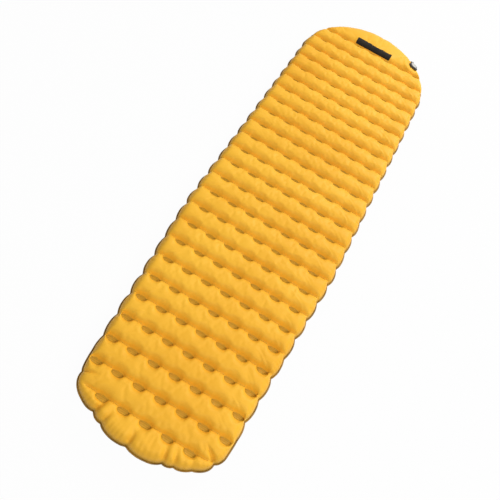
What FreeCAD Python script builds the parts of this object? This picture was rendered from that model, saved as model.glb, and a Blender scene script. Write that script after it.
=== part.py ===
import FreeCAD, Part
import math
import os

# Inflatable sleeping pad, inflated and lying flat: two welded face sheets held at their
# spacing by a die-cut truss under each cross valley, and a flat valve with a deflate plug
# and an inflate lid at the head.
# Frame: +X across the pad towards the valve, +Y from foot to head, +Z up. The origin is on
# the ground, under the middle of the outline. Sizes are in millimetres, angles in degrees.

# Outline
pad_length = 1830.0
pad_width = 510.0
foot_width = 428.0
foot_depth = 116.0  # from the foot's tip to where its corners turn into the sides
foot_corner_r = 75.0
taper_length = 581.0  # from the foot's corners up to the full width
shoulder_blend = 150.0  # the blend's tangent length each way
seam_width = 4.0

# Cross-section
pad_thickness = 76.0
sheet_wall = 1.0
edge_land = 0.5  # upright strip between the seam and the rounded edge
weld_depth = 22.0  # how far the valleys lie below the crests
weld_land = 16.0
crest_flat = 6.0
valley_run_out = 8.0  # valley length past the outermost weld

# Weld grid
foot_margin = 72.0  # from the foot's tip to the first row
row_pitch = 67.5
head_panel_min = 125.0  # least smooth length past the last row
column_pitch = 62.5

# Trusses
film = 0.6
tab_length = 32.0
tab_width = 14.0
shortest_tab = 24.0
leg_width = 10.0
tab_to_edge = 10.0

# Label
label_length = 148.0
label_x = -6.0
label_flat = 5.0  # the part of its width on the head panel's flat top
label_drop = 62.0  # the angle it follows down the last valley's side
label_thickness = 0.6
label_corner_r = 3.0

# Valve seat
valve_angle = 44.5  # round the head from +Y towards +X
valve_inset = 25.0  # from the head's outline to the valve's axis
valve_drop = 10.0  # from the pad's top to the seat's centre
valve_tilt = 18.0  # outwards
seat_band = 1.5  # flat ring outside the flange
seat_relief = 14.0  # clear flat room outside the seat, where the opened lids swing
seat_skirt = 18.0

# Valve collar, heights measured from the seat
bore_r = 13.5
skirt_wall = 1.5
skirt_fit = 0.2
collar_wall = 3.5
collar_height = 4.0
flange_band = 2.5
flange_thickness = 0.8
lip_thickness = 1.2

# Deflate plug and its gasket
plug_rim_inset = 0.6  # inside the collar's edge
plug_rim_thickness = 1.4
plug_top_fit = 0.25
plug_taper = 0.6
plug_depth = 6.0
gasket_thickness = 0.6
gasket_band = 2.2
gasket_inset = 0.3
spider_thickness = 1.2
spider_arm = 2.0
hub_wall = 1.3
pull_tab_length = 6.0
pull_tab_width = 9.0
pull_tab_thickness = 1.2

# Check flap
port_r = 8.5
flap_overlap = 2.0
flap_thickness = 0.8
flap_travel = 1.2
stem_r = 1.2
stem_fit = 0.1
stem_head_overlap = 0.7
stem_head_thickness = 0.8

# Inflate lid and its seal
lid_overlap = 3.7
lid_thickness = 1.4
lid_spigot_depth = 1.6
lid_spigot_wall = 1.2
lid_fit = 0.35
lid_seal_thickness = 0.5
lid_seal_inset = 0.3
lid_tab_width = 8.0
lid_tab_thickness = 1.0

# Hinges
trunnion_r = 1.2
trunnion_fit = 0.05
ear_thickness = 1.8
ear_gap = 0.3  # each side of the arm, and round the rims
knuckle_wall = 0.4
plug_ear_wall = 1.2
plug_arm_width = 6.0
plug_hinge_gap = 1.0  # from the collar to the knuckle
lid_ear_wall = 0.75
lid_arm_width = 4.0
lid_hinge_gap = 0.2  # from the lid to the knuckle

# Worked out from the sizes above
mid = pad_thickness / 2
weld_top = pad_thickness - weld_depth
valley_reach = (row_pitch - crest_flat - weld_land) / 2
valley_r = (valley_reach**2 + weld_depth**2) / (2 * weld_depth)
half_width = pad_width / 2
foot_y = -pad_length / 2
head_y = pad_length / 2 - half_width
row_count = int((pad_length - foot_margin - head_panel_min) // row_pitch) + 1
row_ys = [foot_y + foot_margin + row_pitch * i for i in range(row_count)]
last_row_y = row_ys[-1]
over = 1.0  # how far cutters run past, and roots run into, what they cut or join

skirt_r = bore_r + skirt_wall
collar_r = bore_r + collar_wall
flange_r = skirt_r + flange_band
seat_r = flange_r + seat_band
plug_rim_r = collar_r - plug_rim_inset
lid_r = port_r + lid_overlap
knuckle_r = trunnion_r + knuckle_wall
hole_r = trunnion_r + trunnion_fit
plug_hinge_x = collar_r + plug_hinge_gap + knuckle_r
lid_hinge_x = lid_r + lid_hinge_gap + knuckle_r
lid_ear_r = hole_r + lid_ear_wall

rim_low = collar_height + gasket_thickness
rim_high = rim_low + plug_rim_thickness
plug_low = rim_low - plug_depth
plug_hinge_z = rim_low + trunnion_r / 2
seal_high = rim_high + lid_seal_thickness
lid_high = seal_high + lid_thickness
lid_hinge_z = rim_high + lid_ear_r
clear_of_valve = lid_hinge_z + lid_ear_r + over


def vec(x, y, z=0.0):
    return FreeCAD.Vector(x, y, z)


def unit(v):
    return v * (1.0 / v.Length)


def arc(start, through, end):
    return Part.Arc(start, through, end).toShape()


def line(start, end):
    return Part.LineSegment(start, end).toShape()


def outline():
    """The pad's plan as one tangent-continuous face at z = 0."""
    corner = vec(foot_width / 2 - foot_corner_r, foot_y + foot_depth)
    foot_r = foot_depth**2 + corner.x**2 - foot_corner_r**2
    foot_r /= 2 * (foot_depth - foot_corner_r)
    foot_centre = vec(0, foot_y + foot_r)
    foot_end = foot_centre + unit(corner - foot_centre) * foot_r

    shoulder = vec(half_width, corner.y + taper_length)
    to_corner = corner - shoulder
    swing = math.asin(foot_corner_r / to_corner.Length)
    down = FreeCAD.Rotation(vec(0, 0, 1), math.degrees(swing)).multVec(unit(to_corner))
    taper_end = shoulder + down * (to_corner.Length * math.cos(swing))
    corner_mid = corner + unit(foot_end + taper_end - corner * 2) * foot_corner_r

    turn = math.acos(-down.y)
    blend_r = shoulder_blend / math.tan(turn / 2)
    blend_low = shoulder + down * shoulder_blend
    blend_high = shoulder + vec(0, shoulder_blend)
    inwards = unit(down + vec(0, 1))
    blend_mid = shoulder + inwards * (blend_r / math.cos(turn / 2) - blend_r)
    head_start = vec(half_width, head_y)

    side = [
        arc(foot_end, corner_mid, taper_end),
        line(taper_end, blend_low),
        arc(blend_low, blend_mid, blend_high),
        line(blend_high, head_start),
    ]
    other_side = [edge.mirror(vec(0, 0), vec(1, 0)) for edge in side]
    foot = arc(vec(-foot_end.x, foot_end.y), vec(0, foot_y), foot_end)
    head = arc(head_start, vec(0, pad_length / 2), vec(-half_width, head_y))
    edges = Part.__sortEdges__(side + other_side + [foot, head])
    return Part.Face(Part.Wire(edges))


OUTLINE = outline()


def plan_face(inset, z=0.0):
    face = OUTLINE.makeOffset2D(-inset) if inset else OUTLINE.copy()
    face.translate(vec(0, 0, z))
    return face


def valve_frame():
    """Placement from the valve's own axes (x along the rim to its hinges, z outwards)."""
    angle, tilt = math.radians(valve_angle), math.radians(valve_tilt)
    away = vec(math.sin(angle), math.cos(angle))
    along = vec(math.cos(angle), -math.sin(angle))
    axis = away * math.sin(tilt) + vec(0, 0, math.cos(tilt))
    side = axis.cross(along)
    centre = vec(0, head_y, pad_thickness - valve_drop) + away * (half_width - valve_inset)
    matrix = FreeCAD.Matrix(
        along.x, side.x, axis.x, centre.x,
        along.y, side.y, axis.y, centre.y,
        along.z, side.z, axis.z, centre.z,
        0, 0, 0, 1,
    )
    return FreeCAD.Placement(matrix)


VALVE = valve_frame()


def at_valve(shape):
    shape.Placement = VALVE.multiply(shape.Placement)
    return shape


def disc(radius, low, high, x=0.0):
    return Part.makeCylinder(radius, high - low, vec(x, 0, low))


def ring(outer, inner, low, high):
    return disc(outer, low, high).cut(disc(inner, low - over, high + over))


def box(x0, x1, y0, y1, z0, z1):
    return Part.makeBox(x1 - x0, y1 - y0, z1 - z0, vec(x0, y0, z0))


# The weld grid


def weld_field():
    """Plan area that tabs may lie in: clear of the rounded edge and of the valve's seat."""
    field = plan_face(seam_width + tab_to_edge)
    for side in (1, -1):
        keep_out = disc(seat_r + sheet_wall, -over, over)
        keep_out.translate(vec(side * VALVE.Base.x, VALVE.Base.y))
        field = field.cut(keep_out)
    return field


WELD_FIELD = weld_field()


def field_half_width(y):
    """Least distance from the middle line to the edge of the weld field across one tab."""
    reach = pad_width
    for edge_y in (y - tab_width / 2, y + tab_width / 2):
        run = WELD_FIELD.common(line(vec(0, edge_y), vec(half_width, edge_y)))
        spans = [e.BoundBox for e in run.Edges if e.BoundBox.XMin < over]
        reach = min(reach, spans[0].XMax)
    return reach


def tabs(row_y):
    """(x, half length) of each tab on top, from the middle out to both sides."""
    reach = field_half_width(row_y)
    steps = int((reach - shortest_tab / 2) // column_pitch)
    found = []
    for k in range(-steps, steps + 1):
        x = k * column_pitch
        found.append((x, min(tab_length / 2, reach - abs(x))))
    return found


TABS = [tabs(y) for y in row_ys]


# The face sheets


def half_volume(inset):
    """Upper half of the inflated body without its valleys, inset from the outer face."""
    height = mid - inset
    block = plan_face(seam_width + inset, mid).extrude(vec(0, 0, height))
    top = [e for e in block.Edges if e.BoundBox.ZMin > mid + height - 0.01]
    return block.makeFillet(height - edge_land, top)


def valley(row, inset):
    """Cutter for the valley over one truss; inset deepens and widens it by that much."""
    half_top = (row_pitch - crest_flat) / 2
    bottom, top = weld_top - inset, pad_thickness - inset
    centre_z = pad_thickness - valley_r
    arc_r = valley_r - inset
    land = half_top - math.sqrt(arc_r**2 - (bottom - centre_z) ** 2)
    lean = math.atan2(bottom - centre_z, half_top - land)
    swing = (lean + math.pi / 2) / 2
    halfway = vec(0, half_top - arc_r * math.cos(swing), centre_z + arc_r * math.sin(swing))
    above = pad_thickness + over

    points = [vec(0, half_top, top), vec(0, half_top, above)]
    points += [vec(0, -half_top, above), vec(0, -half_top, top)]
    other_halfway = vec(0, -halfway.y, halfway.z)
    low, other_low = vec(0, land, bottom), vec(0, -land, bottom)
    edges = [line(points[i], points[i + 1]) for i in range(3)]
    edges.append(arc(points[3], other_halfway, other_low))
    edges.append(line(other_low, low))
    edges.append(arc(low, halfway, points[0]))

    last_x, last_half = TABS[row][-1]
    end = last_x + last_half + valley_run_out + inset
    cutter = Part.Face(Part.Wire(edges)).extrude(vec(2 * end, 0, 0))
    cutter.translate(vec(-end, row_ys[row], 0))
    return cutter


def half_body(inset, has_valve):
    body = half_volume(inset).cut([valley(row, inset) for row in range(row_count)])
    if not has_valve:
        return body
    above = at_valve(disc(seat_r + seat_relief + inset, -inset, pad_thickness))
    seat = at_valve(disc(seat_r - inset, -seat_skirt - inset, -inset))
    return body.cut(above).fuse(seat).removeSplitter()


def face_sheet(has_valve):
    """One face sheet as the upper one: the domed shell with its share of the seam."""
    seam = plan_face(0, mid).cut(plan_face(seam_width + sheet_wall, mid))
    seam = seam.extrude(vec(0, 0, sheet_wall))
    shell = half_body(0, has_valve).cut(half_body(sheet_wall, has_valve))
    sheet = shell.fuse(seam).removeSplitter()
    if has_valve:
        sheet = sheet.cut(at_valve(disc(skirt_r + skirt_fit, -seat_skirt / 2, over)))
    return sheet


def top_sheet():
    return face_sheet(True)


def bottom_sheet():
    return face_sheet(False).mirror(vec(0, 0, mid), vec(0, 0, 1))


# The trusses


def leg(top_x, bottom_x, row_y, low, high):
    corners = [(top_x - 0.5 * leg_width, high), (top_x + 0.5 * leg_width, high)]
    corners += [(bottom_x + 0.5 * leg_width, low), (bottom_x - 0.5 * leg_width, low)]
    points = [vec(x, row_y - film / 2, z) for x, z in corners]
    face = Part.Face(Part.makePolygon(points + points[:1]))
    return face.extrude(vec(0, film, 0))


def truss(row):
    """One die-cut zigzag web with its weld tabs, between the valleys of the two sheets."""
    row_y = row_ys[row]
    high = weld_top - sheet_wall
    low = weld_depth + sheet_wall
    half_tab = tab_width / 2
    pieces = []
    for x, half in TABS[row]:
        pieces.append(box(x - half, x + half, row_y - half_tab, row_y + half_tab, high - film, high))
    for (x, _), (next_x, _) in zip(TABS[row], TABS[row][1:]):
        between = (x + next_x) / 2
        half = tab_length / 2
        y0, y1 = row_y - half_tab, row_y + half_tab
        pieces.append(box(between - half, between + half, y0, y1, low, low + film))
        pieces.append(leg(x, between, row_y, low, high))
        pieces.append(leg(next_x, between, row_y, low, high))
    return pieces[0].fuse(pieces[1:]).removeSplitter()


def label_patch():
    """Bent over the head panel's near crest and part of the way down the last valley."""
    crest_y = last_row_y + row_pitch / 2 - crest_flat / 2
    centre_z = pad_thickness - valley_r

    def down(r, share):
        angle = math.pi / 2 + share * math.radians(label_drop)
        return vec(0, crest_y + r * math.cos(angle), centre_z + r * math.sin(angle))

    inner, outer = valley_r, valley_r + label_thickness
    flat = vec(0, label_flat, 0)
    edges = [
        line(down(inner, 0) + flat, down(outer, 0) + flat),
        line(down(outer, 0) + flat, down(outer, 0)),
        arc(down(outer, 0), down(outer, 0.5), down(outer, 1)),
        line(down(outer, 1), down(inner, 1)),
        arc(down(inner, 1), down(inner, 0.5), down(inner, 0)),
        line(down(inner, 0), down(inner, 0) + flat),
    ]
    plate = Part.Face(Part.Wire(edges)).extrude(vec(label_length, 0, 0))
    plate.translate(vec(label_x - label_length / 2, 0, 0))
    corners = [e for e in plate.Edges if e.Length < 2 * label_thickness]
    return plate.makeFillet(label_corner_r, corners)


# The valve, each piece in the valve's own axes


def cross_cylinder(radius, half_length, x, z):
    return Part.makeCylinder(radius, 2 * half_length, vec(x, -half_length, z), vec(0, 1, 0))


def ears(root_x, hinge_x, hinge_z, low, outer_r, arm_width):
    """A pair of upright ears with their trunnion holes, from a base at the given height."""
    inner_y = arm_width / 2 + ear_gap
    outer_y = inner_y + ear_thickness
    post = box(root_x, hinge_x + outer_r, -outer_y, outer_y, low, hinge_z)
    post = post.fuse(cross_cylinder(outer_r, outer_y, hinge_x, hinge_z))
    end_x, top = hinge_x + outer_r + over, hinge_z + outer_r + over
    gap = box(root_x, end_x, -inner_y, inner_y, low - over, top)
    hole = cross_cylinder(hole_r, outer_y + over, hinge_x, hinge_z)
    return post.cut(gap).cut(hole)


def opposite(shape):
    """Turned half round the valve's axis, from the plug's hinge side to its pull tab side."""
    shape.rotate(vec(0, 0), vec(0, 0, 1), 180)
    return shape


def trunnion(hinge_x, hinge_z, arm_width):
    return cross_cylinder(trunnion_r, arm_width / 2 + ear_gap + ear_thickness, hinge_x, hinge_z)


def valve_flange():
    """Soft ring welded inside the top sheet, round the valve's skirt."""
    high = -sheet_wall
    return ring(flange_r, skirt_r + skirt_fit, high - flange_thickness, high)


def valve_body():
    """Rigid collar and skirt that trap the sheet and the flange, with the plug's ears."""
    lip_high = -sheet_wall - flange_thickness
    outer_r = hole_r + plug_ear_wall
    body = disc(collar_r, 0, collar_height)
    body = body.fuse(disc(skirt_r, lip_high - lip_thickness, 0))
    body = body.fuse(disc(flange_r, lip_high - lip_thickness, lip_high))
    lugs = ears(bore_r + over, plug_hinge_x, plug_hinge_z, 0, outer_r, plug_arm_width)
    lugs = lugs.cut(disc(plug_rim_r + ear_gap, collar_height, clear_of_valve))
    bore = disc(bore_r, lip_high - lip_thickness - over, clear_of_valve)
    body = body.fuse(lugs).cut(bore)
    return body.removeSplitter()


def plug_gasket():
    outer = plug_rim_r - gasket_inset
    return ring(outer, outer - gasket_band, collar_height, rim_low)


def hinge_arm(root_x, hinge_x, hinge_z, width, low, high):
    """Flat arm from a rim out to its trunnion, with a round end."""
    arm = box(root_x, hinge_x, -width / 2, width / 2, low, high)
    knuckle = cross_cylinder(knuckle_r, width / 2, hinge_x, hinge_z)
    return arm.fuse(knuckle).fuse(trunnion(hinge_x, hinge_z, width))


def deflate_plug():
    """Tapered plug with the inflation port, the spider that guides the flap, arm and tab."""
    rim = disc(plug_rim_r, rim_low, rim_high)
    top_r = bore_r - plug_top_fit
    barrel = Part.makeCone(top_r - plug_taper, top_r, plug_depth, vec(0, 0, plug_low))
    plug = rim.fuse(barrel).cut(disc(port_r, plug_low - over, clear_of_valve))
    spider_high = plug_low + spider_thickness
    hub = disc(stem_r + stem_fit + hub_wall, plug_low, spider_high)
    reach, half = port_r + over, spider_arm / 2
    for turn in (0, 60, 120):
        arm = box(-reach, reach, -half, half, plug_low, spider_high)
        arm.rotate(vec(0, 0), vec(0, 0, 1), turn)
        hub = hub.fuse(arm)
    plug = plug.fuse(hub).cut(disc(stem_r + stem_fit, plug_low - over, spider_high + over))
    arm_root = plug_rim_r - over
    arm = hinge_arm(arm_root, plug_hinge_x, plug_hinge_z, plug_arm_width, rim_low, rim_high)
    tab_end = plug_rim_r + pull_tab_length
    half = pull_tab_width / 2
    tab = box(-tab_end, -arm_root, -half, half, rim_low, rim_low + pull_tab_thickness)
    upright = [e for e in tab.Edges if e.BoundBox.ZLength > pull_tab_thickness / 2]
    tab_corners = [e for e in upright if e.BoundBox.XMax < over - tab_end]
    tab = tab.makeFillet(half / 2, tab_corners)
    lugs = ears(lid_r - over, lid_hinge_x, lid_hinge_z, rim_low, lid_ear_r, lid_arm_width)
    lugs = lugs.cut(disc(lid_r + ear_gap, rim_high, clear_of_valve))
    lugs = lugs.cut(disc(port_r, rim_low - over, clear_of_valve))
    return plug.fuse([arm, tab, opposite(lugs)]).removeSplitter()


def check_flap():
    """Soft disc under the port with its stem through the spider's hub."""
    hub_high = plug_low + spider_thickness
    head_low = hub_high + flap_travel
    flap = disc(port_r + flap_overlap, plug_low - flap_thickness, plug_low)
    head_high = head_low + stem_head_thickness
    stem = disc(stem_r, plug_low - flap_thickness, head_high)
    head = disc(stem_r + stem_fit + stem_head_overlap, head_low, head_high)
    return flap.fuse([stem, head]).removeSplitter()


def lid_seal():
    return ring(lid_r - lid_seal_inset, port_r + lid_fit, rim_high, seal_high)


def inflate_lid():
    """Lid over the inflation port, with a hollow spigot, its arm and a finger tab.

    Its hinge is over the plug's pull tab, so the lid still opens when the plug stands open.
    """
    spigot_r = port_r - lid_fit
    lid = disc(lid_r, seal_high, lid_high)
    spigot = disc(spigot_r, seal_high - lid_spigot_depth, seal_high)
    hollow = disc(spigot_r - lid_spigot_wall, seal_high - lid_spigot_depth - over, seal_high)
    arm = hinge_arm(lid_r - over, lid_hinge_x, lid_hinge_z, lid_arm_width, seal_high, lid_high)
    half = lid_tab_width / 2
    tab_high = seal_high + lid_tab_thickness
    tab = box(-plug_rim_r + over, -lid_r + over, -half, half, seal_high, tab_high)
    return opposite(lid.fuse([spigot.cut(hollow), arm, tab]).removeSplitter())


def save(shape, node):
    if not shape.isValid() or not shape.Solids:
        raise ValueError(node + " isn't a valid solid")
    shape.exportStep("parts/" + node + ".step")


def main():
    os.makedirs("parts", exist_ok=True)
    save(top_sheet(), "top_sheet")
    save(bottom_sheet(), "bottom_sheet")
    for row in range(row_count):
        save(truss(row), f"truss_{row + 1:02d}")
    save(label_patch(), "label_patch")
    valve_pieces = [
        valve_flange, valve_body, plug_gasket, deflate_plug,
        check_flap, lid_seal, inflate_lid,
    ]
    for piece in valve_pieces:
        save(at_valve(piece()), piece.__name__)


main()
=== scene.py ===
import math

import bmesh
import bpy
import numpy as np
from mathutils import Matrix, Vector


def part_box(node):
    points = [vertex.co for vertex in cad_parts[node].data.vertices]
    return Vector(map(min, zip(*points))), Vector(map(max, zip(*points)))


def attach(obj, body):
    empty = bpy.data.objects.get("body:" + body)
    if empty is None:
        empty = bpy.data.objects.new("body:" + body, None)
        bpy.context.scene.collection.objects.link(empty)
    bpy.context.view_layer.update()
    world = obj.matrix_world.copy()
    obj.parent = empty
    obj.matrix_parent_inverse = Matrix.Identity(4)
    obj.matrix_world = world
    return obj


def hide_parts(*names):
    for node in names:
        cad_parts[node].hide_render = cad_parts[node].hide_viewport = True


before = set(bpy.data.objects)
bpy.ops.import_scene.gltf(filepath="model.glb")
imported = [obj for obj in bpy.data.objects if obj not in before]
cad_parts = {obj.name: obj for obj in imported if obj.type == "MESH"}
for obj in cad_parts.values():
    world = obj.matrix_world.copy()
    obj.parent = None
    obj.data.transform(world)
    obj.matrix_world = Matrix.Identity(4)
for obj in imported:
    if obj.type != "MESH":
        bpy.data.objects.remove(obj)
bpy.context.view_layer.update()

MM = 0.001
LENGTH, WIDTH, THICK = 1830 * MM, 510 * MM, 76 * MM
MID = THICK / 2
SEAM = 4 * MM
FOOT_WIDTH, FOOT_DEPTH, FOOT_CORNER = 428 * MM, 116 * MM, 75 * MM
TAPER = 581 * MM
ROW_0, ROW_GAP, ROWS = -843 * MM, 67.5 * MM, 25
LAST_ROW = ROW_0 + ROW_GAP * (ROWS - 1)
COL_GAP, OUTER_COL = 62.5 * MM, 3
SPOT_LONG, SPOT_WIDE = 17 * MM, 7.5 * MM  # half sizes of a welded spot
WELD_DEPTH = 22 * MM
SADDLE_DEPTH = 18.0 * MM  # of the valley between spots
VALLEY_HALF, LABEL_REACH = 30.75 * MM, 22.75 * MM  # the last valley's bend under the label
HALF_TUBE = ROW_GAP / 2
BOW_LEAN = 0.984  # how steeply the tubes' sides meet, 1 for upright
# Along the outline from the foot's tip, in millimetres: a gather's place, depth and reach.
FOOT_GATHERS = ((-250, 7, 15), (-133, 11, 16), (-98, 7, 13), (-14, 9, 20), (84, 9, 15), (114, 6, 12),
                (160, 4, 12), (222, 11, 17))
CLOTH_FRAMES = 12
CLOTH_SLACK = 6 * MM  # the furthest that the air may move a point of the cloth

SEAT_POINT = Vector((161.209, 824.048, 66.0)) * MM  # the valve's seat, at its centre
SEAT_UP = Vector((0.216593, 0.220407, 0.951057))
SEAT_GAP = 0.8 * MM  # the cloth lies this far under the soft ring's seat
OPENING_R = 15.8 * MM  # under the collar's wall
LABEL_LOW, LABEL_HIGH = (Vector(p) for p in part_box("label_patch"))


# ---------------------------------------------------------------- shader maths

class Tint:
    """A socket in a material, so that its maths reads as plain expressions."""

    def __init__(self, tree, socket):
        self.tree, self.socket = tree, socket

    def make(self, kind, settings=None, out=0, **inputs):
        return make_node(self.tree, kind, settings, out, **inputs)

    def math(self, operation, *values):
        names = {str(i): v for i, v in enumerate(values)}
        return self.make("ShaderNodeMath", {"operation": operation}, **{"i" + k: v for k, v in names.items()})

    def __add__(self, other): return self.math("ADD", self, other)
    def __radd__(self, other): return self.math("ADD", other, self)
    def __sub__(self, other): return self.math("SUBTRACT", self, other)
    def __rsub__(self, other): return self.math("SUBTRACT", other, self)
    def __mul__(self, other): return self.math("MULTIPLY", self, other)
    def __rmul__(self, other): return self.math("MULTIPLY", other, self)
    def __truediv__(self, other): return self.math("DIVIDE", self, other)
    def __rtruediv__(self, other): return self.math("DIVIDE", other, self)
    def __pow__(self, other): return self.math("POWER", self, other)
    def __abs__(self): return self.math("ABSOLUTE", self)

    def sin(self): return self.math("SINE", self)
    def rounded(self): return self.math("ROUND", self)
    def below(self, limit): return self.math("LESS_THAN", self, limit)
    def over(self, limit): return self.math("GREATER_THAN", self, limit)
    def most(self, other): return self.math("MAXIMUM", self, other)

    def ramp(self, low, high, to_low=0.0, to_high=1.0):
        return self.make("ShaderNodeMapRange", {"interpolation_type": "SMOOTHSTEP"},
                         Value=self, From_Min=low, From_Max=high, To_Min=to_low, To_Max=to_high)


def make_node(tree, kind, settings=None, out=0, **inputs):
    """Adds a node: its settings first, then its inputs by name or as i0, i1 for a place."""
    node = tree.nodes.new(kind)
    for name, value in (settings or {}).items():
        setattr(node, name, value)
    for name, value in inputs.items():
        if name[0] == "i" and name[1:].isdigit():
            socket = node.inputs[int(name[1:])]
        else:
            socket = node.inputs[name.replace("_", " ")]
        if isinstance(value, Tint):
            tree.links.new(value.socket, socket)
        else:
            socket.default_value = value
    return Tint(tree, node.outputs[out])


def blend_colours(amount, first, second):
    """Mixes two colours, each a socket or plain numbers."""
    tree = amount.tree
    node = tree.nodes.new("ShaderNodeMix")
    node.data_type = "RGBA"
    tree.links.new(amount.socket, node.inputs["Factor"])
    for socket, colour in ((node.inputs[6], first), (node.inputs[7], second)):
        if isinstance(colour, Tint):
            tree.links.new(colour.socket, socket)
        else:
            socket.default_value = (*colour, 1.0)
    return Tint(tree, node.outputs[2])


def linear(red, green, blue):
    """A colour as it looks on a screen, 0 to 255, as the shader's light values."""
    def one(v):
        v /= 255
        return v / 12.92 if v <= 0.04045 else ((v + 0.055) / 1.055) ** 2.4
    return one(red), one(green), one(blue)


class Finish:
    """A material, its shader and the coordinates its patterns follow."""

    def __init__(self, name, **plain):
        self.material = bpy.data.materials.new(name)
        self.material.use_nodes = True
        self.tree = self.material.node_tree
        self.shader = self.tree.nodes["Principled BSDF"]
        for socket, value in plain.items():
            self.shader.inputs[socket.replace("_", " ")].default_value = value
        place = self.tree.nodes.new("ShaderNodeTexCoord")
        self.place = Tint(self.tree, place.outputs["Object"])
        split = self.tree.nodes.new("ShaderNodeSeparateXYZ")
        self.tree.links.new(self.place.socket, split.inputs[0])
        self.x, self.y, self.z = (Tint(self.tree, split.outputs[i]) for i in range(3))

    def node(self, kind, settings=None, out=0, **inputs):
        return make_node(self.tree, kind, settings, out, **inputs)

    def noise(self, scale, detail=2.0, roughness=0.5, where=None):
        return self.node("ShaderNodeTexNoise", None, 0, Vector=where or self.place,
                         Scale=scale, Detail=detail, Roughness=roughness)

    def drive(self, socket, value):
        self.tree.links.new(value.socket, self.shader.inputs[socket])

    def raise_by(self, height, distance, strength=1.0):
        bump = self.node("ShaderNodeBump", None, 0, Height=height, Distance=distance, Strength=strength)
        self.drive("Normal", bump)


# ---------------------------------------------------------------- finishes

GOLD = linear(247, 187, 54)
GOLD_DEEP = linear(240, 176, 45)
# the welds' own darker colour, with painted shade of the pits they lie in
WELD_BROWN_AND_SHADE = linear(196, 150, 42)
BASE_GREY = linear(84, 78, 66)
# painted shade: olive for the face cloth's sides, low down near the seam
EDGE_PAINTED_SHADE = linear(120, 92, 30)
THREAD_PITCH, SPOT_LINE_PITCH, SEAM_RIB_PITCH = 0.9 * MM, 4.6 * MM, 1.6 * MM


def weave(finish):
    """Plain weave of fine threads, from crossing waves."""
    turn = 2 * math.pi / THREAD_PITCH
    return (finish.x * turn).sin() * (finish.y * turn).sin()


def cloth_finish(name, bright, deep, weld, half_step):
    """Coated fabric with the welded spots in rows; half_step shifts the spots by half a column."""
    cloth = Finish(name, Roughness=0.5, Specular_IOR_Level=0.22)
    column = cloth.x / COL_GAP - half_step
    across = (column - column.rounded()) * COL_GAP
    row = (cloth.y - ROW_0) / ROW_GAP
    row_line = row.rounded()
    along = (row - row_line) * ROW_GAP
    kept = abs(cloth.x).below((OUTER_COL + 0.5 - half_step) * COL_GAP)
    kept = kept * row_line.over(-0.5) * row_line.below(ROWS - 0.5)
    narrow = 1.0 - row_line.below(0.5) * abs(cloth.x).over((OUTER_COL - 0.5 - half_step) * COL_GAP)
    reach = (abs(across) / SPOT_LONG) ** 2.6 + (abs(along) / SPOT_WIDE) ** 2.6
    spot = reach.ramp(1.05, 0.85) * kept * narrow
    rim = reach.ramp(0.45, 0.95) * spot
    lines = (along * (2 * math.pi / SPOT_LINE_PITCH)).sin()
    drift = cloth.noise(5.0, 3.0)
    fibre = cloth.noise(900.0, 2.0, where=cloth.node("ShaderNodeMapping", None, 0, Vector=cloth.place,
                                                    Scale=(1.0, 0.12, 1.0)))
    fabric = blend_colours(drift.ramp(0.3, 0.75), bright, deep)
    fabric = blend_colours(fibre.ramp(0.35, 0.8) * 0.18, fabric, deep)
    if half_step == 0:
        # painted shade: the face cloth turns olive low on its sides, near the seam, where the sides face away from
        # the light
        painted_side_shade = (cloth.z - MID).ramp(2 * MM, 22 * MM, 0.62, 0.0)
        fabric = blend_colours(painted_side_shade, fabric, EDGE_PAINTED_SHADE)
    # The spots: the weld's own darker colour with painted shade of their pits, their rims darker still as painted
    # shade and their embossed lines lighter as painted highlight.
    welded = blend_colours(rim * 0.55, weld, tuple(c * 0.66 for c in weld))
    welded = blend_colours(lines.ramp(0.35, 0.95) * (1.0 - rim) * 0.5, welded, bright)
    cloth.drive("Base Color", blend_colours(spot, fabric, welded))
    cloth.drive("Roughness", 0.47 + drift * 0.1 - spot * 0.12)
    wrinkle = cloth.noise(38.0, 3.0, 0.6, where=cloth.node(
        "ShaderNodeMapping", None, 0, Vector=cloth.place, Scale=(1.0, 1.7, 1.0)))
    height = weave(cloth) * 0.03 * (1.0 - spot) + wrinkle * 0.45 * (1.0 - spot)
    height = height + lines * spot * 0.35 - rim * 0.4
    cloth.raise_by(height, 1.4 * MM, 0.55)
    return cloth.material


def seam_finish():
    """The heat-pressed edge of both fabrics, with the roller's fine cross ribs."""
    seam = Finish("pressed seam", Roughness=0.55)
    ribs = ((seam.x + seam.y) * (2 * math.pi / SEAM_RIB_PITCH)).sin()
    tone = seam.noise(30.0)
    # painted shade: the band is coloured a darker brown than the face cloth, for the dark line along the pad's
    # outline
    seam.drive("Base Color", blend_colours(tone.ramp(0.3, 0.7), linear(172, 128, 44), linear(128, 98, 42)))
    seam.raise_by(ribs, 0.15 * MM, 0.5)
    return seam.material


def label_finish():
    """Blank dark transfer with a soft grain."""
    label = Finish("blank label", Specular_IOR_Level=0.15)
    grain = label.noise(1400.0)
    scuff = label.noise(60.0, 4.0)
    label.drive("Base Color", blend_colours(scuff.ramp(0.35, 0.8), linear(30, 27, 22), linear(44, 38, 30)))
    label.drive("Roughness", 0.55 + grain * 0.2)
    label.raise_by(grain, 0.12 * MM, 0.5)
    return label.material


def moulded_finish(name, colour, rough):
    """Moulded plastic or rubber: a fine grain, a little tone drift and paler edges."""
    part = Finish(name)
    grain = part.noise(1800.0)
    drift = part.noise(70.0, 3.0)
    bend = part.node("ShaderNodeNewGeometry", None, 7)
    worn = bend.ramp(0.52, 0.6)
    pale = tuple(min(1.0, c * 1.25 + 0.01) for c in colour)
    dull = tuple(c * 0.86 for c in colour)
    tone = blend_colours(drift.ramp(0.3, 0.75), colour, dull)
    part.drive("Base Color", blend_colours(worn * 0.5, tone, pale))
    part.drive("Roughness", rough + grain * 0.12 - 0.06)
    part.raise_by(grain, 0.1 * MM, 0.35)
    return part.material


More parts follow.
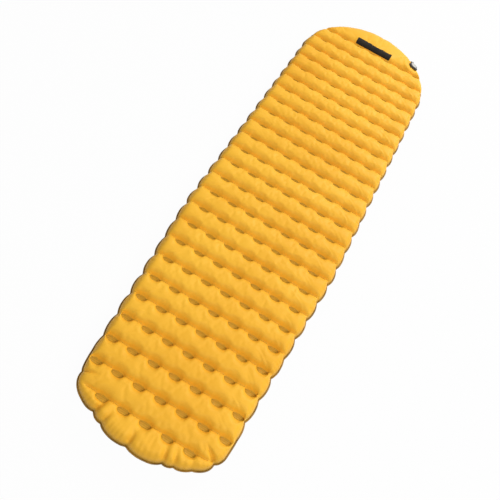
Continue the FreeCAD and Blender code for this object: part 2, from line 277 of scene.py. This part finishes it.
def film_finish():
    """Thin crinkled laminate of the inner trusses."""
    film = Finish("truss film", Roughness=0.3)
    crinkle = film.noise(120.0, 4.0, 0.6)
    film.drive("Base Color", blend_colours(crinkle.ramp(0.3, 0.7), linear(206, 204, 196),
                                           linear(178, 176, 168)))
    film.raise_by(crinkle, 0.5 * MM, 0.4)
    return film.material


# ---------------------------------------------------------------- pad surface

def outline_path():
    """The cut outline from the foot's tip round to the right, the head, the left and back."""
    foot = -LENGTH / 2
    corner = np.array([FOOT_WIDTH / 2 - FOOT_CORNER, foot + FOOT_DEPTH])
    bow = (FOOT_DEPTH ** 2 + corner[0] ** 2 - FOOT_CORNER ** 2) / (2 * (FOOT_DEPTH - FOOT_CORNER))
    centre = np.array([0.0, foot + bow])
    lean = math.atan2(*(corner - centre)[::-1])
    head = LENGTH / 2 - WIDTH / 2
    def arc(middle, radius, start, stop, steps):
        turn = np.linspace(start, stop, steps)
        return np.stack([middle[0] + radius * np.cos(turn), middle[1] + radius * np.sin(turn)], 1)
    right = np.vstack([
        arc(centre, bow, -math.pi / 2, lean, 30),
        arc(corner, FOOT_CORNER, lean, math.radians(-4), 30)[1:],
        [[WIDTH / 2, corner[1] + TAPER]],
        arc((0.0, head), WIDTH / 2, 0.0, math.pi / 2, 60)])
    left = right[::-1] * (-1, 1)
    return np.vstack([right, left[1:-1]])


PATH = outline_path()
STEP = np.roll(PATH, -1, 0) - PATH
STEP_LENGTH = np.linalg.norm(STEP, axis=1)
INWARD = np.stack([-STEP[:, 1], STEP[:, 0]], 1) / STEP_LENGTH[:, None]
RUN = np.concatenate([[0.0], np.cumsum(STEP_LENGTH)])


def to_outline(points):
    """For plan points: the distance in from the outline, the inward direction and the place along it."""
    far, facing, place = [], [], []
    for some in np.array_split(points, max(1, len(points) // 20000)):
        gap = some[:, None, :] - PATH[None]
        part = np.clip((gap * STEP).sum(2) / STEP_LENGTH ** 2, 0, 1)
        off = gap - part[..., None] * STEP
        near = np.argmin((off ** 2).sum(2), axis=1)
        rows = np.arange(len(some))
        signed = (gap[rows, near] * INWARD[near]).sum(1)
        flat = np.sqrt((off[rows, near] ** 2).sum(1))
        far.append(np.where(signed < 0, -flat, flat))
        way = off[rows, near] / np.maximum(flat, 1e-6)[:, None]
        facing.append(np.where((flat > 1e-5)[:, None] & (signed > 0)[:, None], way, INWARD[near]))
        place.append(RUN[near] + part[rows, near] * STEP_LENGTH[near])
    return np.concatenate(far), np.concatenate(facing), np.concatenate(place)


def ease(low, high, value):
    """From 0 at low to 1 at high, level at both ends."""
    t = np.clip((value - low) / (high - low), 0.0, 1.0)
    return t * t * (3 - 2 * t)


def soft_least(a, b, round_by):
    """The lesser of two heights, rounded where they meet."""
    t = np.clip(0.5 + 0.5 * (b - a) / round_by, 0.0, 1.0)
    return b + (a - b) * t - round_by * t * (1 - t)


def waver(value, seed):
    """A slow, even wandering between -1 and 1."""
    return (np.sin(value * 1.7 + seed) + np.sin(value * 2.9 + 2.3 * seed)
            + np.sin(value * 0.61 + 5.1 * seed)) / 3


def chance(row, seed):
    """A repeatable number from 0 to 1 for each row, from the last digits of a large sine."""
    return np.modf(np.abs(np.sin(row * 12.9898 + seed * 78.233) * 43758.5453))[0]


def valve_blend(x, y):
    """How far the cloth has left the valve's flat seat, and the seat's height there."""
    away = np.hypot(x - SEAT_POINT.x, y - SEAT_POINT.y)
    height = SEAT_POINT.z - ((x - SEAT_POINT.x) * SEAT_UP.x + (y - SEAT_POINT.y) * SEAT_UP.y) / SEAT_UP.z
    return ease(27 * MM, 46 * MM, away), height


def tube_depth(x, y, half_step):
    """How far the cloth lies below the crests' level, from the valleys and the dimples at the welds."""
    row = (y - ROW_0) / ROW_GAP
    line = np.clip(np.round(row), 0, ROWS - 1)
    step = x / COL_GAP - half_step
    outer = np.where(line < 0.5, OUTER_COL - 1, OUTER_COL)
    column = np.clip(np.round(step), -outer, outer - round(2 * half_step))
    side = np.abs(step - column) * COL_GAP
    settle = ease(ROW_0, 250 * MM, y)
    ahead = y - ROW_0 - line * ROW_GAP
    scoop = np.clip(1 - (side / (1.12 * SPOT_LONG)) ** 3, 0, 1)
    near_edge = SPOT_WIDE * (1 - 2 * scoop * (1 - 0.5 * settle))
    far_edge = SPOT_WIDE * (0.75 + 0.4 * scoop * (1 - 0.7 * settle))
    near_edge = np.minimum(near_edge, far_edge)
    t = np.where(ahead < far_edge, (ahead + HALF_TUBE) / (near_edge + HALF_TUBE),
                 (HALF_TUBE - ahead) / (HALF_TUBE - far_edge))
    t = np.clip(t, 0, 1)
    bow = (1 - np.sqrt(1 - (BOW_LEAN * t) ** 2)) / (1 - math.sqrt(1 - BOW_LEAN ** 2))
    dip = chance(line * 7 + np.round(step + 0.5), 1.3 + half_step) - 0.5
    saddle = SADDLE_DEPTH + 1.4 * MM * dip + 3.0 * MM * settle
    deep = WELD_DEPTH + (saddle - WELD_DEPTH) * ease(12 * MM, 25 * MM, side)
    stray = ease(8 * MM, 70 * MM, -x - SPOT_LONG - (OUTER_COL - 1) * COL_GAP) * (line < 0.5)
    dent = 0.5 * MM * np.exp(-(side / (0.7 * SPOT_LONG)) ** 2) * (1 - t)
    depth = np.where(y > LAST_ROW + HALF_TUBE, 0.0, deep * bow * (1 - 0.55 * stray) + dent)
    past_x = np.maximum(side - SPOT_LONG + SPOT_WIDE, 0)
    past = np.maximum(np.hypot(past_x, ahead) - SPOT_WIDE, 0)
    held = 1 - ease(0.5 * MM, 9 * MM, past)
    return depth, held, np.abs(row - line) * ROW_GAP, line


def label_bed(x, y):
    """How far the cloth follows the label's even bend, and its depth there."""
    aside = np.maximum(LABEL_LOW.x - x, x - LABEL_HIGH.x)
    weight = (1 - ease(0, 12 * MM, aside)) * ease(-8 * MM, -1 * MM, y - LABEL_LOW.y)
    bend = (WELD_DEPTH ** 2 + LABEL_REACH ** 2) / (2 * WELD_DEPTH)
    down = np.clip(LAST_ROW + VALLEY_HALF - y, 0, 0.98 * bend)
    return weight * (y < LAST_ROW + HALF_TUBE), bend - np.sqrt(bend ** 2 - down ** 2)


def tucks(x, y, place, far, off):
    """How far the cloth is drawn in along the seam and pressed down inside it, at the row ends and
    at the foot's gathers."""
    past_foot = ease(ROW_0 + 76 * MM, ROW_0 + 100 * MM, y)
    on_side = past_foot * (1 - ease(LAST_ROW + 6 * MM, LAST_ROW + 30 * MM, y))
    vee = np.clip(1 - off / HALF_TUBE, 0, 1) ** 2.2
    row = np.round((y - ROW_0) / ROW_GAP)
    deep = 6.5 * MM + 4.0 * MM * (chance(row + 40 * (x > 0), 2.1) - 0.4)
    drawn = on_side * vee * deep
    groove = np.zeros_like(drawn)
    signed = np.where(place > RUN[-1] / 2, place - RUN[-1], place)
    for where, much, reach in FOOT_GATHERS:
        gap = np.abs(signed - where * MM)
        drawn += much * MM * np.exp(-gap / (reach * MM))
        width = (0.32 * reach + 0.12 * far / MM) * MM
        groove += 1.15 * much * MM * np.exp(-(gap / width) ** 2) * (1 - ease(14 * MM, 74 * MM, far))
    return drawn, groove


def seam_wrinkles(y, far, place, top):
    """Small radial folds in from the seam, fading over the tube's end."""
    wave = 2 * math.pi * place / (14.5 * MM) + 3.2 * waver(place * 26, 1.1 + top)
    wave = wave + 2.0 * waver(place * 9, 4.2)
    at_foot = 1 - ease(-LENGTH / 2 + 40 * MM, ROW_0 + 50 * MM, y)
    strong = 0.5 + 0.5 * waver(place * 33, 7.7 + 3 * top) + 0.4 * at_foot
    fade = np.exp(-np.maximum(far - 6 * MM, 0) / (15 * MM)) * ease(0.0, 7 * MM, far)
    quiet = 1 - 0.55 * ease(LAST_ROW, LAST_ROW + 90 * MM, y)
    return 1.5 * MM * np.sin(wave) * strong * fade * quiet


def creases(x, y, far, seed):
    """Short slanting folds between the outer spots and the seam, two or three to a tube."""
    total = np.zeros_like(x)
    tube = np.floor((y - ROW_0) / ROW_GAP)
    middle = ROW_0 + (tube + 0.5) * ROW_GAP
    for side in (-1, 1):
        for k in range(3):
            pick = chance(tube + 31 * k + (side > 0) * 17, seed)
            lean = side * (0.45 + 0.5 * chance(tube + 3 * k, seed + 2.0))
            start = 34 * MM + 13 * MM * k + 8 * MM * pick
            p = far - start
            q = (y - middle + 12 * MM) - p * lean * side - 9 * MM * (k - 1)
            fold = np.exp(-(q / (2.6 * MM)) ** 2) - 0.8 * np.exp(-((q - 4.6 * MM) / (3.0 * MM)) ** 2)
            hold = np.exp(-(p / (13 * MM)) ** 2) * (pick > 0.35) * (x * side > 0)
            total += 1.1 * MM * fold * hold
    return total * (y > ROW_0) * (y < LAST_ROW)


def cloth_shape(x, y, top):
    """Where plan points of the flat cloth lie once the pad is full: one face of it."""
    points = np.stack([x, y], 1)
    far, facing, place = to_outline(points)
    far = np.maximum(far, 0.0)
    half_step = 0.0 if top else 0.5
    depth, held, off, line = tube_depth(x, y, half_step)
    at_head = ease(LAST_ROW - 10 * MM, LAST_ROW + 70 * MM, y)
    round_r = MID + 24 * MM * at_head
    edge = MID * np.sqrt(np.clip(1 - (1 - np.clip(far / round_r, 0, 1)) ** 2, 0, 1))
    if top:
        bedded, bed = label_bed(x, y)
        depth = depth + (bed - depth) * bedded
        held = held * (1 - bedded)
    drawn, groove = tucks(x, y, place, far, off)
    foot = 1 - ease(ROW_0 + 20 * MM, ROW_0 + 60 * MM, y)
    half = soft_least(MID - depth, edge, (5 + 9 * foot) * MM * ease(0, 12 * MM, far) + 1e-6)
    half = half - groove * ease(0, 14 * MM, far)
    sway = 1.0 * MM * waver(x * 16 + line * 1.9, 0.7 + top) * ease(10 * MM, 50 * MM, far)
    half = half - np.abs(sway) * 0.6
    half = half + seam_wrinkles(y, far, place, top) + creases(x, y, far, 3.3 + top)
    if top:
        half = half + (MID - bed - half) * bedded
    over_weld = MID - WELD_DEPTH
    half = half + (np.maximum(half, over_weld) - half) * held
    half = half + (over_weld - half) * np.clip(held * 2 - 1, 0, 1) * (np.abs(depth - WELD_DEPTH) < 1 * MM)
    if top:
        weight, seat_height = valve_blend(x, y)
        weight = np.maximum(weight, 1 - ease(4 * MM, 14 * MM, far))
        half = (seat_height - SEAT_GAP - MID) * (1 - weight) + half * weight
        half = np.minimum(half, MID)
    else:
        half = np.minimum(half + 1.0 * MM, MID)
    half = np.where(far < 1e-5, 0.0, half)
    drawn = (drawn * (1 - ease(0, 70 * MM, far)) + SEAM * (1 - ease(0, 30 * MM, far))) * (1 - held)
    moved = points + facing * drawn[:, None]
    wander = 1.6 * MM * waver(place * 21, 2.9) * (1 - ease(0, 30 * MM, far))
    z = MID + (half if top else -half) + wander
    return moved, z


def flat_cloth():
    """The two faces, flat: a grid on the weld rows, trimmed to the outline and joined at its edge."""
    cell_x, cell_y = COL_GAP / 10, ROW_GAP / 12
    wide = 2 * math.ceil(WIDTH / 2 / cell_x + 1)
    low = ROW_0 - cell_y * math.ceil((ROW_0 + LENGTH / 2) / cell_y + 1)
    tall = math.ceil((LENGTH / 2 - low) / cell_y + 1)
    bm = bmesh.new()
    bmesh.ops.create_grid(bm, x_segments=wide, y_segments=tall, size=0.5)
    for v in bm.verts:
        v.co = Vector((round((v.co.x + 0.5) * wide) - wide / 2, round((v.co.y + 0.5) * tall), 0))
        v.co = Vector((v.co.x * cell_x, low + v.co.y * cell_y, 0))
    middles = np.array([f.calc_center_median()[:2] for f in bm.faces])
    far = to_outline(middles)[0]
    outside = [f for f, d in zip(list(bm.faces), far) if d < 0.35 * cell_x]
    bmesh.ops.delete(bm, geom=outside, context="FACES")
    bmesh.ops.delete(bm, geom=[v for v in bm.verts if not v.link_faces], context="VERTS")
    edge = trim_to_outline(bm)
    near, ring = set(), set(edge)
    for _ in range(4):
        ring = {e.other_vert(v) for v in ring for e in v.link_edges} - set(edge) - near
        near |= ring
    for _ in range(25):
        bmesh.ops.smooth_vert(bm, verts=list(near), factor=0.5, use_axis_x=True, use_axis_y=True, use_axis_z=False)
    return bm


def trim_to_outline(bm):
    """Slides the grid's stepped edge on to the outline, evenly spaced, and returns its points."""
    links = {}
    for e in bm.edges:
        if len(e.link_faces) == 1:
            for v in e.verts:
                links.setdefault(v, []).append(e.other_vert(v))
    first = min(links, key=lambda v: (round(abs(v.co.x), 5), v.co.y))
    loop, here = [first], max(links[first], key=lambda v: v.co.x)
    while here is not first:
        loop.append(here)
        a, b = links[here]
        here = b if a is loop[-2] else a
    place = to_outline(np.array([v.co[:2] for v in loop]))[2]
    place[0] = 0.0
    place = np.unwrap(place * 2 * math.pi / RUN[-1]) * RUN[-1] / (2 * math.pi)
    for _ in range(60):
        before, after = np.roll(place, 1), np.roll(place, -1)
        before[0] -= RUN[-1]
        after[-1] += RUN[-1]
        even = (before + after) / 2
        even[0] = 0.0
        place = 0.5 * (place + even)
    for v, s in zip(loop, place % RUN[-1]):
        k = min(int(np.searchsorted(RUN, s, "right")) - 1, len(PATH) - 1)
        v.co.xy = PATH[k] + STEP[k] * (s - RUN[k]) / STEP_LENGTH[k]
    return loop


def mesh_points(mesh):
    found = np.empty(len(mesh.vertices) * 3)
    mesh.vertices.foreach_get("co", found)
    return found.reshape(-1, 3)


def set_points(mesh, points):
    mesh.vertices.foreach_set("co", np.ascontiguousarray(points, dtype=np.float64).ravel())
    mesh.update()


def piece(name, mesh, finish, body, replaces=()):
    """Shows a mesh as a named piece that rides on a body."""
    thing = bpy.data.objects.new(name, mesh)
    bpy.context.scene.collection.objects.link(thing)
    mesh.materials.clear()
    mesh.materials.append(finish)
    mesh.shade_smooth()
    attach(thing, body)
    for node in replaces:
        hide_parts(node)
    return thing


def air_filled(flat, top):
    """Lets the air push the shaped cloth about between its welds, and returns how far each point
    of the flat cloth went, at most CLOTH_SLACK."""
    mesh = bpy.data.meshes.new("filling")
    flat.to_mesh(mesh)
    points = mesh_points(mesh)
    plan, z = cloth_shape(points[:, 0], points[:, 1], top)
    start = np.column_stack([plan, z])
    set_points(mesh, start)
    if not top:
        mesh.flip_normals()
    x, y = points[:, 0], points[:, 1]
    far = to_outline(points[:, :2])[0]
    _, held, _, _ = tube_depth(x, y, 0.0 if top else 0.5)
    free = (1 - np.clip(held * 2, 0, 1)) * ease(3 * MM, 16 * MM, far)
    if top:
        bedded, _ = label_bed(x, y)
        free *= (1 - bedded) * valve_blend(x, y)[0]
    trial = bpy.data.objects.new("filling", mesh)
    bpy.context.scene.collection.objects.link(trial)
    welds = trial.vertex_groups.new(name="welds")
    welds.add([int(i) for i in np.where(free < 0.15)[0]], 1.0, "REPLACE")
    cloth = trial.modifiers.new("cloth", "CLOTH")
    fabric = cloth.settings
    fabric.quality, fabric.mass, fabric.air_damping = 5, 0.1, 1.0
    fabric.tension_stiffness = fabric.compression_stiffness = 40
    fabric.shear_stiffness, fabric.bending_stiffness = 12, 0.5
    fabric.tension_damping = fabric.compression_damping = fabric.shear_damping = 5
    fabric.shrink_min = -0.006
    fabric.vertex_group_mass = "welds"
    fabric.use_pressure, fabric.uniform_pressure_force = True, 2.0
    fabric.effector_weights.gravity = 0
    cloth.collision_settings.use_collision = False
    cloth.point_cache.frame_start, cloth.point_cache.frame_end = 1, CLOTH_FRAMES
    for frame_number in range(1, CLOTH_FRAMES + 1):
        bpy.context.scene.frame_set(frame_number)
    full = trial.evaluated_get(bpy.context.evaluated_depsgraph_get()).data
    moved = mesh_points(full) - start
    bpy.data.objects.remove(trial)
    bpy.context.scene.frame_set(1)
    length = np.linalg.norm(moved, axis=1)
    moved *= (np.minimum(length, CLOTH_SLACK) / np.maximum(length, 1e-9) * free)[:, None]
    return moved


def valve_opening(mesh):
    """Cuts the round opening that the collar passes through."""
    bm = bmesh.new()
    bm.from_mesh(mesh)
    within = {v for v in bm.verts if (v.co.xy - SEAT_POINT.xy).length <= OPENING_R}
    rim = {v for f in bm.faces for v in within.intersection(f.verts) if not within.issuperset(f.verts)}
    inside = [f for f in bm.faces if within.issuperset(f.verts)]
    for v in rim:
        away = (v.co.xy - SEAT_POINT.xy).normalized() * OPENING_R
        v.co.xy = SEAT_POINT.xy + away
        v.co.z = SEAT_POINT.z - away.dot(SEAT_UP.xy) / SEAT_UP.z - SEAT_GAP
    bmesh.ops.delete(bm, geom=inside, context="FACES")
    bm.to_mesh(mesh)
    bm.free()


def face_cloth(name, flat, top, finish, replaces):
    """One face of the pad: the flat cloth, divided once and shaped."""
    bm = flat.copy()
    slack = bm.verts.layers.float_vector.new("slack")
    for v, moved in zip(bm.verts, air_filled(flat, top)):
        v[slack] = moved
    bmesh.ops.subdivide_edges(bm, edges=bm.edges[:], cuts=1, use_grid_fill=True)
    mesh = bpy.data.meshes.new(name)
    bm.to_mesh(mesh)
    bm.free()
    points = mesh_points(mesh)
    plan, z = cloth_shape(points[:, 0], points[:, 1], top)
    given = np.empty(len(mesh.vertices) * 3)
    mesh.attributes["slack"].data.foreach_get("vector", given)
    mesh.attributes.remove(mesh.attributes["slack"])
    shaped = np.column_stack([plan, z]) + given.reshape(-1, 3)
    shaped[:, 2] = np.clip(shaped[:, 2], 0.0, THICK + CLOTH_SLACK)
    set_points(mesh, shaped)
    if top:
        valve_opening(mesh)
    else:
        mesh.flip_normals()
    cloth = piece(name, mesh, finish, "pad", [replaces])
    return cloth


def seam_band(face, finish):
    """The pressed edge outside the seam: both fabrics, trimmed."""
    bm = bmesh.new()
    bm.from_mesh(face.data)
    edge = [e for e in bm.edges if len(e.link_faces) == 1
            and (e.verts[0].co.xy - SEAT_POINT.xy).length > OPENING_R + 3 * MM]
    bmesh.ops.delete(bm, geom=bm.faces[:], context="FACES_ONLY")
    bmesh.ops.delete(bm, geom=[e for e in bm.edges if e not in set(edge)], context="EDGES")
    bmesh.ops.delete(bm, geom=[v for v in bm.verts if not v.link_edges], context="VERTS")
    grown = bmesh.ops.extrude_edge_only(bm, edges=bm.edges[:])["geom"]
    outer = [g for g in grown if isinstance(g, bmesh.types.BMVert)]
    _, facing, place = to_outline(np.array([v.co[:2] for v in outer]))
    for v, way, s in zip(outer, facing, place):
        v.co.xy = Vector(v.co.xy) - Vector(way) * (SEAM - 0.3 * MM)
        v.co.z += 0.7 * MM * math.sin(s * 190)
    bmesh.ops.recalc_face_normals(bm, faces=bm.faces)
    bmesh.ops.solidify(bm, geom=bm.faces[:], thickness=0.6 * MM)
    mesh = bpy.data.meshes.new("seam_band")
    bm.to_mesh(mesh)
    bm.free()
    return piece("seam_band", mesh, finish, "pad")


def label(finish):
    """The blank transfer, rounded at its corners, lying on the head panel's curve."""
    centre = (LABEL_LOW + LABEL_HIGH) / 2
    half_x, half_y = (LABEL_HIGH.x - LABEL_LOW.x) / 2, (LABEL_HIGH.y - LABEL_LOW.y) / 2
    bm = bmesh.new()
    bmesh.ops.create_grid(bm, x_segments=60, y_segments=18, size=1.0)
    corner = 3 * MM
    for v in bm.verts:
        x, y = v.co.x * half_x, v.co.y * half_y
        over_x, over_y = max(abs(x) - half_x + corner, 0), max(abs(y) - half_y + corner, 0)
        past = math.hypot(over_x, over_y)
        if past > corner:
            x -= math.copysign(over_x * (1 - corner / past), x)
            y -= math.copysign(over_y * (1 - corner / past), y)
        v.co = Vector((centre.x + x, centre.y + y, 0))
    mesh = bpy.data.meshes.new("label")
    bm.to_mesh(mesh)
    bm.free()
    points = mesh_points(mesh)
    _, z = cloth_shape(points[:, 0], points[:, 1], True)
    set_points(mesh, np.column_stack([points[:, :2], z + 0.5 * MM]))
    patch = piece("label", mesh, finish, "pad", ["label_patch"])
    thick = patch.modifiers.new("thickness", "SOLIDIFY")
    thick.thickness, thick.offset = 0.4 * MM, 1.0
    return patch


# ---------------------------------------------------------------- stage

def camera():
    """Stands past the foot, above it, and looks down along the pad."""
    lens = bpy.data.cameras.new("camera")
    lens.lens, lens.sensor_width = 38.3, 36
    lens.shift_x, lens.shift_y = 0.0434, -0.0186
    lens.clip_end = 50
    view = bpy.data.objects.new("camera", lens)
    bpy.context.scene.collection.objects.link(view)
    right = Vector((0.8586, 0.4722, 0.1997))
    up = Vector((-0.5070, 0.7241, 0.4675))
    back = right.cross(up).normalized()
    up = back.cross(right.normalized())
    turn = Matrix((right.normalized(), up, back)).transposed()
    view.matrix_world = Matrix.Translation((0.0446, -1.0701, 1.4057)) @ turn.to_4x4()
    bpy.context.scene.camera = view


def lamp(name, place, aim, size, power):
    """A round soft lamp that faces the aim."""
    light = bpy.data.lights.new(name, "AREA")
    light.shape, light.size, light.energy = "DISK", size, power
    thing = bpy.data.objects.new(name, light)
    bpy.context.scene.collection.objects.link(thing)
    way = Vector(aim) - Vector(place)
    thing.matrix_world = Matrix.Translation(place) @ way.to_track_quat("-Z", "Y").to_matrix().to_4x4()


def seen_white(tree):
    """1 for rays that show the surroundings as they look: camera, glossy and transmission rays."""
    rays = tree.nodes.new("ShaderNodeLightPath")
    kinds = [Tint(tree, rays.outputs[n]) for n in ("Is Camera Ray", "Is Glossy Ray", "Is Transmission Ray")]
    return kinds[0].most(kinds[1]).most(kinds[2])


def stage():
    """The white floor, the room's even light and two lamps from the pad's right."""
    bm = bmesh.new()
    bmesh.ops.create_grid(bm, x_segments=1, y_segments=1, size=20)
    mesh = bpy.data.meshes.new("floor")
    bm.to_mesh(mesh)
    bm.free()
    floor = bpy.data.objects.new("floor", mesh)
    bpy.context.scene.collection.objects.link(floor)
    paper = bpy.data.materials.new("white paper")
    paper.use_nodes = True
    tree = paper.node_tree
    shader = tree.nodes["Principled BSDF"]
    shader.inputs["Base Color"].default_value = (0.6, 0.6, 0.6, 1)
    shader.inputs["Roughness"].default_value = 0.9
    glow = make_node(tree, "ShaderNodeEmission", None, 0, Color=(1, 1, 1, 1), Strength=1.0)
    mixed = tree.nodes.new("ShaderNodeMixShader")
    tree.links.new((seen_white(tree) * 0.97).socket, mixed.inputs[0])
    tree.links.new(shader.outputs[0], mixed.inputs[1])
    tree.links.new(glow.socket, mixed.inputs[2])
    tree.links.new(mixed.outputs[0], tree.nodes["Material Output"].inputs[0])
    mesh.materials.append(paper)

    world = bpy.data.worlds.new("studio")
    bpy.context.scene.world = world
    world.use_nodes = True
    tree = world.node_tree
    room = tree.nodes["Background"]
    room.inputs["Color"].default_value = (1, 1, 1, 1)
    tree.links.new((0.39 + 0.61 * seen_white(tree)).socket, room.inputs["Strength"])
    lamp("softbox", (1.3, 2.6, 2.4), (0, 0.0, 0), 1.6, 84)
    lamp("fill", (1.6, -1.4, 2.8), (0, -0.2, 0), 1.8, 50)
    bpy.context.scene.view_settings.view_transform = "Standard"


# ---------------------------------------------------------------- the pad

camera()
stage()

gold = cloth_finish("golden coated weave", GOLD, GOLD_DEEP, WELD_BROWN_AND_SHADE, 0.0)
ground = cloth_finish("dark base fabric", BASE_GREY, tuple(c * 0.85 for c in BASE_GREY),
                      tuple(c * 0.7 for c in BASE_GREY), 0.5)
seam_look = seam_finish()

flat = flat_cloth()
face = face_cloth("face_cloth", flat, True, gold, "top_sheet")
face_cloth("base_cloth", flat, False, ground, "bottom_sheet")
flat.free()
seam_band(face, seam_look)
label(label_finish())

NODE_FINISHES = {
    "valve_flange": moulded_finish("soft ring", linear(66, 64, 60), 0.6),
    "valve_body": moulded_finish("collar", linear(60, 60, 60), 0.45),
    "plug_gasket": moulded_finish("gasket rubber", linear(40, 40, 40), 0.7),
    "deflate_plug": moulded_finish("dark plug", linear(58, 57, 55), 0.42),
    "inflate_lid": moulded_finish("light grey lid", linear(178, 176, 170), 0.4),
    "lid_seal": moulded_finish("seal rubber", linear(40, 40, 40), 0.6),
    "check_flap": moulded_finish("silicone flap", linear(205, 205, 200), 0.35),
}
truss_film = film_finish()
for name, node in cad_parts.items():
    look = truss_film if name.startswith("truss_") else NODE_FINISHES.get(name)
    if look:
        node.data.materials.clear()
        node.data.materials.append(look)
